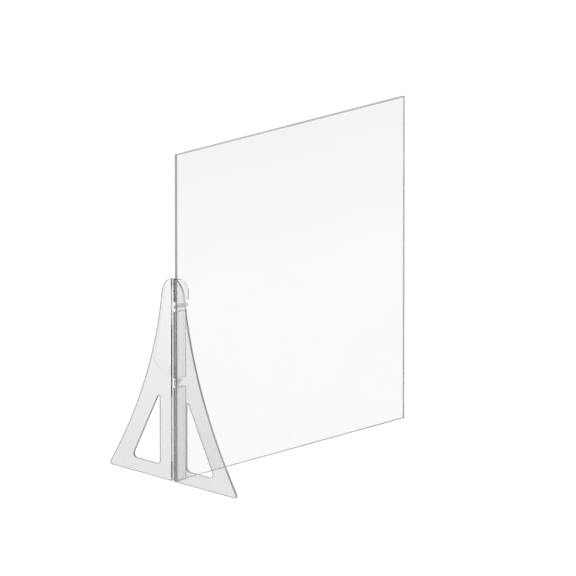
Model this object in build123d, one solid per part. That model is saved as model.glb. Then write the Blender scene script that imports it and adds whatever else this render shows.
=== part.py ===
from build123d import *
import os

# All sizes are in millimetres. +Z is up, X runs along the panel, and the origin is the
# centre of the footprint on the table. The stand is symmetric about the XZ plane.

# Panel
PANEL_LENGTH = 584.0
PANEL_HEIGHT = 610.0
PANEL_THICKNESS = 6.0
PANEL_EDGE_CHAMFER = 0.4

# A-frame: a plate whose sides are parabolas that rise to an egg-shaped head
FRAME_HEIGHT = 380.0
FRAME_HALF_BASE = 166.0
SHOULDER_HEIGHT = 350.0
SHOULDER_HALF_WIDTH = 28.5
SIDE_PULL_HALF_WIDTH = 50.8
PLATE_THICKNESS = 4.0
PLATE_EDGE_RADIUS = 0.6
TOE_RADIUS = 5.0

# Triangular window in each wing
WINDOW_INNER = 34.0
WINDOW_OUTER = 106.0
WINDOW_BOTTOM = 26.0
WINDOW_TOP = 163.0
WINDOW_CORNER_RADIUS = 7.0
WINDOW_PEAK_RADIUS = 3.0

# Spine: two slot walls and the web that joins them, all the way up the frame
SLOT_WIDTH = 6.6
WALL_THICKNESS = 3.0
SLOT_DEPTH = 5.0
WEB_THICKNESS = 2.0

# Sleeves: U channels behind the spine that hold the panel's end
SLEEVE_BACK = 1.5
SLEEVE_DEPTH = 23.0
CLIP_DEPTH = 28.0
LEAD_IN = 0.8
LOWER_SLEEVE_TOP = 175.0
MIDDLE_SLEEVE_BOTTOM = 192.0
MIDDLE_SLEEVE_TOP = 317.0
CLIP_BOTTOM = 336.0
CLIP_TOP = 377.0
EAR_HEIGHT = 30.0
EAR_LENGTH = 20.0

# Grips that bridge the gaps between the sleeves
GRIP_BAR_LENGTH = 27.0
GRIP_BAR_HEIGHT = 6.0
GUSSET_LENGTH = 14.0
GUSSET_HEIGHT = 13.0
GAP_MARGIN = 2.0

# The panel keeps this running gap to the channel around it
PANEL_GAP = 0.3

SPINE_DEPTH = SLOT_DEPTH + WEB_THICKNESS
OVERALL_LENGTH = SPINE_DEPTH + SLEEVE_BACK + PANEL_GAP + PANEL_LENGTH
FRONT_X = -OVERALL_LENGTH / 2
SPINE_BACK_X = FRONT_X + SPINE_DEPTH
PANEL_X = SPINE_BACK_X + SLEEVE_BACK + PANEL_GAP
WALL_INNER = SLOT_WIDTH / 2
WALL_OUTER = WALL_INNER + WALL_THICKNESS

FRONT_PLANE = Plane.YZ.offset(FRONT_X)


def frame_outline():
    """The whole A-frame seen from its end, without windows."""
    with BuildSketch() as outline:
        with BuildLine():
            toe = (FRAME_HALF_BASE, 0)
            shoulder = (SHOULDER_HALF_WIDTH, SHOULDER_HEIGHT)
            crown = (0, FRAME_HEIGHT)
            Line((0, 0), toe)
            Bezier(toe, (SIDE_PULL_HALF_WIDTH, SHOULDER_HEIGHT / 2), shoulder)
            Bezier(
                shoulder,
                (SHOULDER_HALF_WIDTH - 2, SHOULDER_HEIGHT + 17),
                (SHOULDER_HALF_WIDTH / 2, FRAME_HEIGHT),
                crown,
            )
            Line(crown, (0, 0))
        make_face()
        fillet(outline.vertices().sort_by(Axis.X)[-1], TOE_RADIUS)
        mirror(about=Plane.YZ)
    return outline.sketch


def wing_windows():
    """Both triangular windows, with a tight peak and rounder lower corners."""
    with BuildSketch() as windows:
        with BuildLine():
            Polyline(
                (WINDOW_INNER, WINDOW_BOTTOM),
                (WINDOW_OUTER, WINDOW_BOTTOM),
                (WINDOW_INNER, WINDOW_TOP),
                close=True,
            )
        make_face()
        corners = windows.vertices().sort_by(Axis.Y)
        fillet(corners[:2], WINDOW_CORNER_RADIUS)
        fillet(windows.vertices().sort_by(Axis.Y)[-1], WINDOW_PEAK_RADIUS)
        mirror(about=Plane.YZ)
    return windows.sketch


def web_opening(bottom, top):
    """A through hole in the web, level with the gap between two sleeves."""
    size = (WEB_THICKNESS * 3, SLOT_WIDTH, top - bottom)
    return Pos(SPINE_BACK_X, 0, (bottom + top) / 2) * Box(*size)


def stand_frame():
    outline = frame_outline()
    plate = extrude(FRONT_PLANE * (outline - wing_windows()), PLATE_THICKNESS)
    band = Pos(0, FRAME_HEIGHT / 2) * Rectangle(2 * WALL_OUTER, FRAME_HEIGHT)
    spine = extrude(FRONT_PLANE * (outline & band), SPINE_DEPTH)
    blank = plate + spine
    outer_face = blank.faces().sort_by(Axis.X)[0]
    frame = fillet(outer_face.edges(), PLATE_EDGE_RADIUS)
    frame -= Pos(FRONT_X, 0, FRAME_HEIGHT / 2) * Box(2 * SLOT_DEPTH, SLOT_WIDTH, FRAME_HEIGHT)
    frame -= web_opening(LOWER_SLEEVE_TOP, MIDDLE_SLEEVE_BOTTOM)
    frame -= web_opening(MIDDLE_SLEEVE_TOP, CLIP_BOTTOM)
    return frame


def channel_section(depth):
    """U section of a sleeve, open towards +X, with a lead-in on each lip."""
    lip = SPINE_BACK_X + depth
    floor = SPINE_BACK_X + SLEEVE_BACK
    with BuildSketch() as section:
        with BuildLine():
            Polyline(
                (SPINE_BACK_X, 0),
                (SPINE_BACK_X, WALL_OUTER),
                (lip, WALL_OUTER),
                (lip, WALL_INNER + LEAD_IN),
                (lip - 2 * LEAD_IN, WALL_INNER),
                (floor, WALL_INNER),
                (floor, 0),
                close=True,
            )
        make_face()
        mirror(about=Plane.XZ)
    return section.sketch


def sleeve(bottom, top, depth):
    return extrude(Pos(0, 0, bottom) * channel_section(depth), top - bottom)


def top_clip():
    """The top channel, cut to a round ear on its panel side."""
    blank = sleeve(CLIP_BOTTOM, CLIP_TOP, CLIP_DEPTH)
    lip = SPINE_BACK_X + CLIP_DEPTH
    with BuildSketch(Plane.XZ) as ear:
        with BuildLine():
            Polyline(
                (lip, CLIP_TOP - EAR_HEIGHT),
                (lip, CLIP_BOTTOM),
                (SPINE_BACK_X, CLIP_BOTTOM),
                (SPINE_BACK_X, CLIP_TOP),
                (lip - EAR_LENGTH, CLIP_TOP),
            )
            EllipticalCenterArc(
                (lip - EAR_LENGTH, CLIP_TOP - EAR_HEIGHT),
                EAR_LENGTH,
                EAR_HEIGHT,
                start_angle=0,
                arc_size=90,
            )
        make_face()
    return blank & extrude(ear.sketch, WALL_OUTER, both=True)


def mirrored_pair(profile):
    """Extrude an XZ profile into one jaw's thickness, and copy it to the other side."""
    jaw = Pos(0, WALL_OUTER, 0) * extrude(profile, WALL_THICKNESS)
    return Compound(children=[jaw, mirror(jaw, about=Plane.XZ)])


def upper_grip_bars():
    middle = (MIDDLE_SLEEVE_TOP + CLIP_BOTTOM) / 2
    centre = (SPINE_BACK_X + GRIP_BAR_LENGTH / 2, middle)
    bar = Pos(*centre) * RectangleRounded(GRIP_BAR_LENGTH, GRIP_BAR_HEIGHT, 1.0)
    return mirrored_pair(Plane.XZ * bar)


def lower_grip_gussets():
    top = MIDDLE_SLEEVE_BOTTOM - GAP_MARGIN
    gusset = Polygon(
        (SPINE_BACK_X, top - GUSSET_HEIGHT),
        (SPINE_BACK_X + GUSSET_LENGTH, top),
        (SPINE_BACK_X, top),
        align=None,
    )
    return mirrored_pair(Plane.XZ * gusset)


def guard_panel():
    centre = Pos(PANEL_X + PANEL_LENGTH / 2, 0, PANEL_HEIGHT / 2)
    sheet = centre * Box(PANEL_LENGTH, PANEL_THICKNESS, PANEL_HEIGHT)
    return chamfer(sheet.edges(), PANEL_EDGE_CHAMFER)


parts = {
    "guard_panel": guard_panel(),
    "stand_frame": stand_frame(),
    "lower_sleeve": sleeve(0, LOWER_SLEEVE_TOP, SLEEVE_DEPTH),
    "middle_sleeve": sleeve(MIDDLE_SLEEVE_BOTTOM, MIDDLE_SLEEVE_TOP, SLEEVE_DEPTH),
    "top_clip": top_clip(),
    "upper_grip_bars": upper_grip_bars(),
    "lower_grip_gussets": lower_grip_gussets(),
}

os.makedirs("parts", exist_ok=True)
for name, shape in parts.items():
    export_step(shape, f"parts/{name}.step")
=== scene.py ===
import math

import bmesh
import bpy
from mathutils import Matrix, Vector


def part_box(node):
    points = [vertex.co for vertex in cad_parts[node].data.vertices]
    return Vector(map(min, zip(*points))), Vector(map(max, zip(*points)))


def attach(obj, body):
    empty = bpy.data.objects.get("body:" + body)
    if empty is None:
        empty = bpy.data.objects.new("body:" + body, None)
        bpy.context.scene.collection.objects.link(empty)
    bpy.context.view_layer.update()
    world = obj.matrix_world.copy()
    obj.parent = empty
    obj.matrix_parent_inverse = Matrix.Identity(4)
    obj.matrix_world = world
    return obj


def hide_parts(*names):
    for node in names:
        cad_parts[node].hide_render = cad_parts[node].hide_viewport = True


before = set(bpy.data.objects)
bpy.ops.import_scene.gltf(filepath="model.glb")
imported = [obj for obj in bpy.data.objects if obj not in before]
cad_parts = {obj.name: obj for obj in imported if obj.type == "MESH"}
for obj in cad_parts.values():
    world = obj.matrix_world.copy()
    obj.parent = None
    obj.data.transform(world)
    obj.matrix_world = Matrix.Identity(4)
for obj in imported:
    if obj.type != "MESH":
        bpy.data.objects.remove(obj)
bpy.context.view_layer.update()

MM = 0.001

# ---------------------------------------------------------------- sizes, in metres
FRONT_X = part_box("stand_frame")[0].x
PLATE = 4.0 * MM
SLOT_HALF = 3.3 * MM
WALL_HALF = 6.3 * MM
SLOT_DEPTH = 5.0 * MM
SPINE_DEPTH = 7.0 * MM
FRAME_HEIGHT = 380.0 * MM
TOE = (166.0 * MM, 0.0)
SIDE_PULL = (50.8 * MM, 175.0 * MM)
SHOULDER = (28.5 * MM, 350.0 * MM)
HEAD_PULLS = ((26.5 * MM, 367.0 * MM), (14.25 * MM, 380.0 * MM))
TOE_RADIUS = 5.0 * MM
WINDOW = ((34.0 * MM, 26.0 * MM), (106.0 * MM, 26.0 * MM), (34.0 * MM, 163.0 * MM))
WINDOW_RADII = (7.0 * MM, 7.0 * MM, 3.0 * MM)
RECESS_CENTRE = 290.0 * MM
RECESS_RADII = (72.0 * MM, 95.0 * MM)
RECESS_MARGIN = 7.0 * MM
RECESS_INNER = 9.3 * MM
RECESS_TOP = 362.0 * MM
RECESS_DEPTH = 0.4 * MM
LOWER_GAP = (175.0 * MM, 192.0 * MM)
UPPER_GAP = (317.0 * MM, 336.0 * MM)
SLEEVE_BACK = 1.5 * MM
LEAD_IN = 0.8 * MM
EAR = (20.0 * MM, 30.0 * MM)
BAR_RADIUS = 1.0 * MM
GUSSET_RADIUS = 0.8 * MM
PANEL_RADIUS = 0.8 * MM
RIM_LIP = 0.7 * MM  # flat strip beside a cut edge that carries the edge's painted dark rim shade
FRAME_EDGE = 0.25 * MM
CHANNEL_EDGE = 0.35 * MM
SEAM = 0.04 * MM  # hairline between the spine and what is bonded to it
SHADE_STRIP_WIDTH = 2.9 * MM  # width of the near-black strip of painted shade on the spine's side
BEYOND = 5.0 * MM  # how far a cutting tool runs past what it cuts
TINY_RADIUS = 0.01 * MM
SLIVER = 0.004 * MM  # edges shorter than this are merged away

SHARP_ANGLE = 35.0
POLYCARBONATE_IOR = 1.585
ACRYLIC_IOR = 1.49
# Material slots of every piece, in this order
MAIN, EDGE, ACCENT, SPINE = range(4)


# ---------------------------------------------------------------- outlines
def bezier(points, steps):
    """Points along a Bezier curve of any degree, its last point left out."""
    out = []
    for i in range(steps):
        row = [Vector(p) for p in points]
        while len(row) > 1:
            row = [a.lerp(b, i / steps) for a, b in zip(row, row[1:])]
        out.append(row[0])
    return out


def rounded(corner, before, after, radius, steps=8):
    """Points of the arc that rounds one corner."""
    corner, before, after = Vector(corner), Vector(before), Vector(after)
    u, v = (before - corner).normalized(), (after - corner).normalized()
    half = u.angle(v) / 2
    reach = radius / math.tan(half)
    centre = corner + (u + v).normalized() * radius / math.sin(half)
    a, b = corner + u * reach - centre, corner + v * reach - centre
    turn = a.angle_signed(b)
    out = []
    for i in range(steps + 1):
        spin = -turn * i / steps
        c, s = math.cos(spin), math.sin(spin)
        out.append(centre + Vector((a.x * c - a.y * s, a.x * s + a.y * c)))
    return out


def rounded_polygon(corners, radii):
    out = []
    count = len(corners)
    for i, (corner, radius) in enumerate(zip(corners, radii)):
        out += rounded(corner, corners[i - 1], corners[(i + 1) % count], radius)
    return out


def mirrored(points):
    """The same closed loop on the other side, wound the same way."""
    return [Vector((-p.x, p.y)) for p in reversed(points)]


def frame_loop():
    """The whole A-frame outline as (y, z), counter-clockwise, with rounded toes."""
    side = bezier((TOE, SIDE_PULL, SHOULDER), 48)
    head = bezier((SHOULDER, *HEAD_PULLS, (0.0, FRAME_HEIGHT)), 20)
    toe = rounded(TOE, (0.0, 0.0), side[1], TOE_RADIUS)
    rise = [p for p in side if p.y > toe[-1].y + 1.0 * MM]
    half = toe + rise + head
    return half + [Vector((0.0, FRAME_HEIGHT))] + [Vector((-p.x, p.y)) for p in reversed(half)]


def recess_loop():
    """The shallow U-shaped recess in the upper part of one wing."""
    half = [p for p in frame_loop() if p.x > 0 and p.y > 1 * MM]
    outer = []
    for p in half:
        rise = (p.y - RECESS_CENTRE) / RECESS_RADII[1]
        if abs(rise) < 1:
            reach = RECESS_RADII[0] * math.sqrt(1 - rise * rise)
            outer.append(Vector((min(p.x - RECESS_MARGIN, reach), p.y)))
    outer = [p for p in outer if p.x > RECESS_INNER + 1 * MM and p.y < RECESS_TOP]
    inner = [Vector((RECESS_INNER, outer[-1].y)), Vector((RECESS_INNER, outer[0].y))]
    return outer + inner


def window_loop():
    return rounded_polygon(WINDOW, WINDOW_RADII)


# ---------------------------------------------------------------- mesh tools
def new_object(name, bm):
    """Turn a bmesh into an object with four empty material slots."""
    bmesh.ops.recalc_face_normals(bm, faces=bm.faces)
    mesh = bpy.data.meshes.new(name)
    bm.to_mesh(mesh)
    bm.free()
    for _ in (MAIN, EDGE, ACCENT, SPINE):
        mesh.materials.append(None)
    obj = bpy.data.objects.new(name, mesh)
    bpy.context.scene.collection.objects.link(obj)
    shade(mesh)
    return obj


def shade(mesh):
    """Smooth shading that stays sharp at corners."""
    mesh.polygons.foreach_set("use_smooth", [True] * len(mesh.polygons))
    mesh.set_sharp_from_angle(angle=math.radians(SHARP_ANGLE))


def inset(loop, distance):
    """The loop moved inwards (to its left) by a distance."""
    out = []
    count = len(loop)
    for i, p in enumerate(loop):
        along = (loop[(i + 1) % count] - loop[i - 1]).normalized()
        out.append(p + Vector((-along.y, along.x)) * distance)
    return out


def prism(name, outer, holes, low, high, place, radius=0.5 * MM, steps=4, lip=0.0):
    """A plate cut to the outer loop and holes, from low to high, with round edges.
    Loops are counter-clockwise. place turns (u, v, w) into a point in the shared frame.
    The edges, and a flat lip beside them, use the edge material; the faces use the main one."""
    bm = bmesh.new()
    profile = [(radius + lip, low)] if lip else []
    for i in range(steps + 1):
        turn = math.pi / 2 * i / steps
        profile.append((radius * (1 - math.sin(turn)), low + radius * (1 - math.cos(turn))))
    profile += [(d, low + high - w) for d, w in reversed(profile)]
    rims = {0: [], len(profile) - 1: []}
    for loop, side in [(outer, 1)] + [(hole, -1) for hole in holes]:
        rings = []
        for d, w in profile:
            ring = [bm.verts.new(place(p.x, p.y, w)) for p in inset(loop, side * d)]
            rings.append(ring)
        for a, b in zip(rings, rings[1:]):
            for i in range(len(a)):
                bm.faces.new((a[i - 1], a[i], b[i], b[i - 1])).material_index = EDGE
        for k in rims:
            ring = rings[k]
            rims[k] += [bm.edges.get((ring[i - 1], ring[i])) for i in range(len(ring))]
    for edges in rims.values():
        bmesh.ops.triangle_fill(bm, edges=edges, use_beauty=True, use_dissolve=False)
    return new_object(name, bm)


def along_x(u, v, w):
    return (w, u, v)


def along_y(u, v, w):
    return (u, w, v)


def across_y(u, v, w):
    return (v, u, w)


def block(low, high):
    """A box, used only as a tool to cut with or to add."""
    bm = bmesh.new()
    bmesh.ops.create_cube(bm, size=1.0)
    for vert in bm.verts:
        vert.co = [a + (b - a) * (c + 0.5) for a, b, c in zip(low, high, vert.co)]
    return new_object("tool", bm)


def combine(obj, tool, operation):
    """Boolean of obj with a tool, which is used up."""
    step = obj.modifiers.new("combine", "BOOLEAN")
    step.solver = "EXACT"
    step.operation = operation
    step.object = tool
    apply_modifiers(obj)
    bpy.data.objects.remove(tool)
    return obj


def apply_modifiers(obj):
    bpy.context.view_layer.update()
    graph = bpy.context.evaluated_depsgraph_get()
    mesh = bpy.data.meshes.new_from_object(obj.evaluated_get(graph))
    obj.modifiers.clear()
    obj.data = mesh
    shade(mesh)


def round_edges(obj, width, segments=2):
    """Bevel every corner, then merge away the slivers that this leaves."""
    step = obj.modifiers.new("edges", "BEVEL")
    step.width = width
    step.segments = segments
    step.limit_method = "ANGLE"
    step.angle_limit = math.radians(40.0)
    step.use_clamp_overlap = True
    apply_modifiers(obj)
    bm = bmesh.new()
    bm.from_mesh(obj.data)
    bmesh.ops.remove_doubles(bm, verts=bm.verts, dist=SLIVER)
    bmesh.ops.dissolve_degenerate(bm, edges=bm.edges, dist=SLIVER)
    bm.to_mesh(obj.data)
    bm.free()
    shade(obj.data)
    return obj


# ---------------------------------------------------------------- pieces
def build_frame():
    """The A-frame: a plate with two windows, and the spine with its slot and web holes."""
    holes = [window_loop(), mirrored(window_loop())]
    obj = prism(
        "stand_frame_look", frame_loop(), holes, FRONT_X, FRONT_X + PLATE, along_x, lip=RIM_LIP
    )
    half = [
        Vector((WALL_HALF, FRONT_X + 2 * MM)),
        Vector((WALL_HALF, FRONT_X + SPINE_DEPTH - SHADE_STRIP_WIDTH)),
        Vector((WALL_HALF, FRONT_X + SPINE_DEPTH)),
    ]
    section = half + [Vector((-p.x, p.y)) for p in reversed(half)]
    spine = prism(
        "tool", section, [], 0.2 * MM, FRAME_HEIGHT - 1.8 * MM, across_y, radius=TINY_RADIUS
    )
    combine(obj, spine, "UNION")
    slot = block(
        (FRONT_X - BEYOND, -SLOT_HALF, -BEYOND),
        (FRONT_X + SLOT_DEPTH, SLOT_HALF, FRAME_HEIGHT + BEYOND),
    )
    combine(obj, slot, "DIFFERENCE")
    for bottom, top in (LOWER_GAP, UPPER_GAP):
        hole = block(
            (FRONT_X + SLOT_DEPTH - 1 * MM, -SLOT_HALF - SEAM, bottom),
            (FRONT_X + SPINE_DEPTH + 1 * MM, SLOT_HALF + SEAM, top),
        )
        combine(obj, hole, "DIFFERENCE")
    for loop in (recess_loop(), mirrored(recess_loop())):
        recess = prism(
            "tool", loop, [], FRONT_X - 2 * MM, FRONT_X + RECESS_DEPTH, along_x, radius=TINY_RADIUS
        )
        combine(obj, recess, "DIFFERENCE")
    round_edges(obj, FRAME_EDGE)
    # A near-black strip of painted shade on the spine's -y side; the rest of the spine stays clear
    for face in obj.data.polygons:
        if abs(face.center.y) < WALL_HALF + 0.02 * MM:
            in_shade_strip = abs(face.normal.y) > 0.5 and face.center.x > FRONT_X + SPINE_DEPTH - SHADE_STRIP_WIDTH
            outside = face.center.y < -SLOT_HALF - 1 * MM
            face.material_index = ACCENT if in_shade_strip and outside else SPINE
    return obj


def ear_tool(lip, top, bottom, back, outer):
    """What the top clip keeps: everything inside its round ear."""
    centre = Vector((lip - EAR[0], top - EAR[1]))
    arc = []
    for i in range(25):
        turn = math.pi / 2 * i / 24
        arc.append(centre + Vector((EAR[0] * math.cos(turn), EAR[1] * math.sin(turn))))
    keep = [
        Vector((back - BEYOND, top)),
        Vector((back - BEYOND, bottom - BEYOND)),
        Vector((lip, bottom - BEYOND)),
    ] + arc
    side = outer + 2 * MM
    return prism("tool", keep, [], -side, side, along_y, radius=TINY_RADIUS)


def channel(name, node, ear=False):
    """One U channel that grips the panel, a hair clear of the spine behind it."""
    low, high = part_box(node)
    back, lip = low.x + SEAM, high.x
    floor = low.x + SLEEVE_BACK
    outer, inner, lead = high.y, SLOT_HALF, LEAD_IN
    half = [
        Vector((floor, inner)),
        Vector((lip - 2 * lead, inner)),
        Vector((lip, inner + lead)),
        Vector((lip, outer)),
        Vector((back + SHADE_STRIP_WIDTH / 2, outer)),
        Vector((back, outer)),
    ]
    loop = [Vector((p.x, -p.y)) for p in reversed(half)] + half
    bm = bmesh.new()
    ends = []
    for z in (low.z + SEAM, high.z):
        ends.append([bm.verts.new((p.x, p.y, z)) for p in loop])
    for i in range(len(loop)):
        side = bm.faces.new((ends[0][i - 1], ends[0][i], ends[1][i], ends[1][i - 1]))
        # The channel floor, and the back faces beside the spine's dark strip on the -y side, take
        # the edge material: painted shade
        on_floor = all(abs(vert.co.x - floor) < 0.1 * MM for vert in side.verts)
        beside_shade_strip = all(back <= vert.co.x < back + SHADE_STRIP_WIDTH for vert in side.verts)
        if on_floor or (beside_shade_strip and side.calc_center_median().y < -inner):
            side.material_index = EDGE
        # The lead-in faces take the dark accent material: painted shade
        if all(vert.co.x > lip - 2.1 * lead for vert in side.verts):
            side.material_index = ACCENT
    for ring in ends:
        bm.faces.new(ring)
    obj = new_object(name, bm)
    if ear:
        combine(obj, ear_tool(lip, high.z, low.z, back, outer), "INTERSECT")
    return round_edges(obj, CHANNEL_EDGE, 3)


def grip_pair(name, outer, corners, radius):
    """Two mirrored jaws, one on each side of the panel, in one mesh."""
    loop = rounded_polygon(corners, [radius] * len(corners))
    pair = prism(name, loop, [], SLOT_HALF, outer, along_y)
    other = prism("tool", loop, [], -outer, -SLOT_HALF, along_y)
    merged = bmesh.new()
    merged.from_mesh(pair.data)
    merged.from_mesh(other.data)
    merged.to_mesh(pair.data)
    merged.free()
    bpy.data.objects.remove(other)
    shade(pair.data)
    return pair


def build_bars():
    low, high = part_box("upper_grip_bars")
    back = low.x + SEAM
    corners = [(back, low.z), (high.x, low.z), (high.x, high.z), (back, high.z)]
    return grip_pair("upper_grip_look", high.y, corners, BAR_RADIUS)


def build_gussets():
    low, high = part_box("lower_grip_gussets")
    back = low.x + SEAM
    corners = [(back, low.z), (high.x, high.z), (back, high.z)]
    return grip_pair("lower_grip_look", high.y, corners, GUSSET_RADIUS)


def build_panel():
    low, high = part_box("guard_panel")
    corners = [(low.x, low.z), (high.x, low.z), (high.x, high.z), (low.x, high.z)]
    loop = rounded_polygon(corners, [PANEL_RADIUS] * 4)
    return prism("panel_look", loop, [], low.y, high.y, along_y, lip=RIM_LIP)


frame_look = build_frame()
lower_look = channel("lower_sleeve_look", "lower_sleeve")
middle_look = channel("middle_sleeve_look", "middle_sleeve")
clip_look = channel("top_clip_look", "top_clip", ear=True)
bars_look = build_bars()
gussets_look = build_gussets()
panel_look = build_panel()


# ---------------------------------------------------------------- materials
def clear_plastic(
    name, tint, ior, rough, haze_scale, wave, wave_scale, clear=1.0, fade=None
):
    """Clear plastic with faint haze in its roughness, a drifting tint and slight waviness.
    clear is the share of light that passes; the rest is diffuse in the tint colour, which the
    edge, strip and channel floor materials set grey as painted shade.
    fade is (axis, (start, end), factor at start, factor at end) and scales the tint, which the
    materials below use for painted shade along that axis."""
    mat = bpy.data.materials.new(name)
    mat.use_nodes = True
    nodes, links = mat.node_tree.nodes, mat.node_tree.links
    nodes.clear()
    out = nodes.new("ShaderNodeOutputMaterial")
    shader = nodes.new("ShaderNodeBsdfPrincipled")
    shader.inputs["Transmission Weight"].default_value = clear
    shader.inputs["IOR"].default_value = ior
    links.new(shader.outputs["BSDF"], out.inputs["Surface"])
    where = nodes.new("ShaderNodeTexCoord")

    def noise(scale, detail):
        node = nodes.new("ShaderNodeTexNoise")
        node.inputs["Scale"].default_value = scale
        node.inputs["Detail"].default_value = detail
        links.new(where.outputs["Object"], node.inputs["Vector"])
        return node.outputs["Fac"]

    def mapped(value, start, end, at_start, at_end):
        node = nodes.new("ShaderNodeMapRange")
        node.inputs["From Min"].default_value = start
        node.inputs["From Max"].default_value = end
        node.inputs["To Min"].default_value = at_start
        node.inputs["To Max"].default_value = at_end
        links.new(value, node.inputs["Value"])
        return node.outputs["Result"]

    haze = mapped(noise(haze_scale, 4.0), 0.35, 0.75, *rough)
    links.new(haze, shader.inputs["Roughness"])

    mix = nodes.new("ShaderNodeMix")
    mix.data_type = "RGBA"
    mix.inputs["A"].default_value = (*tint[0], 1.0)
    mix.inputs["B"].default_value = (*tint[1], 1.0)
    links.new(noise(haze_scale * 0.35, 2.0), mix.inputs["Factor"])
    colour = mix.outputs["Result"]
    if fade:
        axis, (start, end), at_start, at_end = fade
        place = nodes.new("ShaderNodeSeparateXYZ")
        links.new(where.outputs["Object"], place.inputs["Vector"])
        scaled = nodes.new("ShaderNodeVectorMath")
        scaled.operation = "SCALE"
        links.new(colour, scaled.inputs["Vector"])
        factor = mapped(place.outputs[axis], start, end, at_start, at_end)
        links.new(factor, scaled.inputs["Scale"])
        colour = scaled.outputs["Vector"]
    links.new(colour, shader.inputs["Base Color"])

    bump = nodes.new("ShaderNodeBump")
    bump.inputs["Strength"].default_value = wave
    bump.inputs["Distance"].default_value = 1.0 * MM
    links.new(noise(wave_scale, 2.0), bump.inputs["Height"])
    links.new(bump.outputs["Normal"], shader.inputs["Normal"])
    return mat


def grey(level):
    return (level, level, level)


# Moulded parts share their fine grain; their pieces of painted shade (dark strip, channel floors)
# share a rougher skin as well
moulded = {"ior": POLYCARBONATE_IOR, "haze_scale": 40.0, "wave_scale": 60.0}
moulded_edge = {**moulded, "rough": (0.05, 0.15), "wave": 0.05}

acrylic = clear_plastic(
    "clear acrylic",
    tint=((0.880, 0.884, 0.898), (0.922, 0.926, 0.938)),
    ior=ACRYLIC_IOR,
    rough=(0.0, 0.02),
    haze_scale=6.0,
    wave=0.05,
    wave_scale=6.0,
    # the fade tints the panel darker towards its top: painted shade
    fade=("Z", (0.35, 0.65), 0.99, 0.93),
)
# Panel edges and their lip in dark grey, half diffuse, darker towards +X: painted shade for the
# dark rims of a clear sheet
acrylic_edge_painted_shade = clear_plastic(
    "acrylic edge, painted shade",
    tint=((0.34, 0.35, 0.36), (0.90, 0.91, 0.92)),
    ior=ACRYLIC_IOR,
    rough=(0.02, 0.08),
    haze_scale=30.0,
    wave=0.05,
    wave_scale=30.0,
    clear=0.5,
    fade=("X", (-0.29, 0.29), 1.08, 0.70),
)
polycarbonate = clear_plastic(
    "clear polycarbonate",
    tint=((0.850, 0.850, 0.832), (0.892, 0.892, 0.876)),
    ior=POLYCARBONATE_IOR,
    rough=(0.01, 0.05),
    haze_scale=22.0,
    wave=0.02,
    wave_scale=25.0,
    # the fade tints the stand darker towards its bottom: painted shade
    fade=("Z", (0.05, 0.40), 0.84, 0.99),
)
# Stand edges and lip, and the channels' lead-ins, in dark grey and partly diffuse: painted shade
# for the dark rims
polycarbonate_edge_painted_shade = clear_plastic(
    "moulded polycarbonate edge, painted shade",
    tint=((0.34, 0.34, 0.33), (0.62, 0.62, 0.61)),
    ior=POLYCARBONATE_IOR,
    rough=(0.05, 0.15),
    haze_scale=22.0,
    wave=0.05,
    wave_scale=25.0,
    clear=0.6,
)
clear_spine = clear_plastic(
    "clear spine",
    tint=((0.96, 0.96, 0.955), (0.99, 0.99, 0.985)),
    rough=(0.01, 0.04),
    wave=0.02,
    **moulded,
)
# Near-black strip on one side of the spine, lighter at its bottom: painted shade
painted_shade_strip = clear_plastic(
    "painted shade strip",
    tint=(grey(0.03), grey(0.06)),
    clear=0.3,
    fade=("Z", (0.12, 0.20), 4.0, 1.0),
    **moulded_edge,
)
channel_plastic = clear_plastic(
    "clear channel plastic",
    tint=((0.935, 0.93, 0.945), (0.965, 0.96, 0.975)),
    rough=(0.01, 0.06),
    wave=0.02,
    **moulded,
)
# Channel floors in grey, partly diffuse: painted shade
channel_floor_painted_shade = clear_plastic(
    "channel floor, dark painted shade", tint=(grey(0.15), grey(0.25)), clear=0.6, **moulded_edge
)
pale_channel_floor_painted_shade = clear_plastic(
    "channel floor, pale painted shade", tint=(grey(0.5), grey(0.65)), clear=0.6, **moulded_edge
)
grip_plastic = clear_plastic(
    "clear grip plastic",
    tint=((0.64, 0.64, 0.63), (0.76, 0.76, 0.75)),
    ior=1.5,
    rough=(0.12, 0.25),
    haze_scale=120.0,
    wave=0.2,
    wave_scale=200.0,
    clear=0.9,
)

for obj, main, edge, body, slot, node in (
    (panel_look, acrylic, acrylic_edge_painted_shade, "panel", "clear_acrylic", "guard_panel"),
    (frame_look, polycarbonate, polycarbonate_edge_painted_shade, "stand", "clear_polycarbonate", "stand_frame"),
    (lower_look, channel_plastic, pale_channel_floor_painted_shade, "stand", "clear_channel", "lower_sleeve"),
    (middle_look, channel_plastic, channel_floor_painted_shade, "stand", "clear_channel", "middle_sleeve"),
    (clip_look, channel_plastic, channel_floor_painted_shade, "stand", "clear_channel", "top_clip"),
    (bars_look, grip_plastic, grip_plastic, "stand", "clear_grip", "upper_grip_bars"),
    (gussets_look, grip_plastic, grip_plastic, "stand", "clear_grip", "lower_grip_gussets"),
):
    obj.data.materials[MAIN] = main
    obj.data.materials[EDGE] = edge
    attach(obj, body)
    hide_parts(node)
    obj.visible_shadow = False
    flat = obj.modifiers.new("flat faces stay flat", "WEIGHTED_NORMAL")
    flat.mode = "FACE_AREA"
    flat.weight = 100
    flat.keep_sharp = True
frame_look.data.materials[ACCENT] = painted_shade_strip
frame_look.data.materials[SPINE] = clear_spine
for channel_look in (lower_look, middle_look, clip_look):
    channel_look.data.materials[ACCENT] = polycarbonate_edge_painted_shade


# ---------------------------------------------------------------- floor, light, camera
MIDDLE_HEIGHT = 0.3
IMAGE_SIDE = 576


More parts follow.
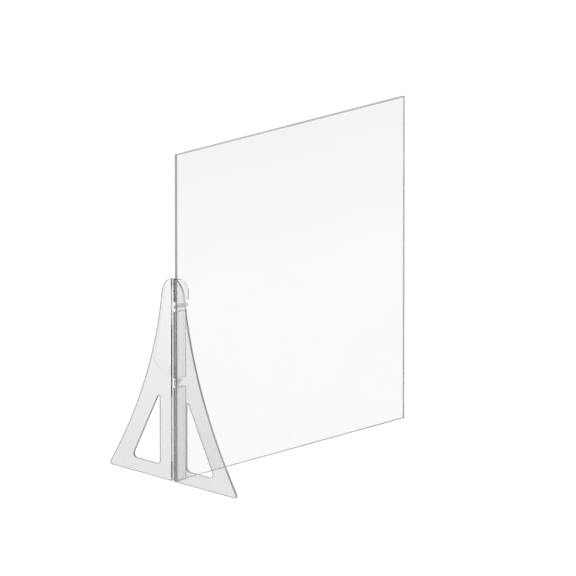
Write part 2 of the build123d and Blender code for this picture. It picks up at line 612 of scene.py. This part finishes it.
def build_floor():
    """A pale table top just under the feet, bright enough to fade into the background."""
    bm = bmesh.new()
    bmesh.ops.create_circle(bm, cap_ends=True, radius=14.0, segments=96)
    floor = new_object("floor", bm)
    floor.location.z = -0.4 * MM
    mat = bpy.data.materials.new("white table")
    mat.use_nodes = True
    shader = mat.node_tree.nodes["Principled BSDF"]
    shader.inputs["Base Color"].default_value = (0.12, 0.12, 0.12, 1.0)
    shader.inputs["Roughness"].default_value = 0.9
    shader.inputs["Emission Color"].default_value = (1.0, 1.0, 1.0, 1.0)
    shader.inputs["Emission Strength"].default_value = 0.91
    floor.data.materials[MAIN] = mat


def build_world():
    """White low sky that a clear plate fades into, greyer overhead for darker edges."""
    world = bpy.data.worlds.new("studio")
    bpy.context.scene.world = world
    world.use_nodes = True
    nodes, links = world.node_tree.nodes, world.node_tree.links
    nodes.clear()
    out = nodes.new("ShaderNodeOutputWorld")
    background = nodes.new("ShaderNodeBackground")
    where = nodes.new("ShaderNodeTexCoord")
    split = nodes.new("ShaderNodeSeparateXYZ")
    ramp = nodes.new("ShaderNodeValToRGB")
    ramp.color_ramp.elements[0].position = 0.45
    ramp.color_ramp.elements[0].color = (1.0, 1.0, 1.0, 1.0)
    ramp.color_ramp.elements[1].position = 0.85
    ramp.color_ramp.elements[1].color = (0.45, 0.46, 0.48, 1.0)
    links.new(where.outputs["Generated"], split.inputs["Vector"])
    links.new(split.outputs["Z"], ramp.inputs["Fac"])
    links.new(ramp.outputs["Color"], background.inputs["Color"])
    background.inputs["Strength"].default_value = 1.03
    links.new(background.outputs["Background"], out.inputs["Surface"])


def direction(azimuth, elevation):
    """Unit vector from the guard towards a viewer or lamp, from angles in degrees."""
    a, e = math.radians(azimuth), math.radians(elevation)
    return Vector((math.sin(a) * math.cos(e), -math.cos(a) * math.cos(e), math.sin(e)))


def soft_light(name, azimuth, elevation, power, distance=4.0, size=3.0):
    """A large square lamp aimed at the middle of the guard."""
    back = direction(azimuth, elevation)
    data = bpy.data.lights.new(name, "AREA")
    data.shape = "SQUARE"
    data.size = size
    data.energy = power
    lamp = bpy.data.objects.new(name, data)
    lamp.location = Vector((0.0, 0.0, MIDDLE_HEIGHT)) + back * distance
    lamp.rotation_euler = back.to_track_quat("Z", "Y").to_euler()
    bpy.context.scene.collection.objects.link(lamp)


def build_camera():
    """A long lens from far away, so that the sheet's edges stay nearly parallel."""
    back = direction(-45.01, 15.49)
    data = bpy.data.cameras.new("camera")
    data.sensor_width = 36.0
    data.lens = 1033.3
    data.clip_end = 100.0
    data.shift_x = 0.15 / IMAGE_SIDE
    data.shift_y = 2.77 / IMAGE_SIDE
    camera = bpy.data.objects.new("camera", data)
    camera.location = Vector((-0.0025, 0.0, MIDDLE_HEIGHT)) + back * 30.0
    camera.rotation_euler = back.to_track_quat("Z", "Y").to_euler()
    bpy.context.scene.collection.objects.link(camera)
    bpy.context.scene.camera = camera


build_floor()
build_world()
soft_light("key", -110.0, 60.0, 40.0)
soft_light("fill", 70.0, 50.0, 25.0)
build_camera()
bpy.context.scene.view_settings.view_transform = "Standard"
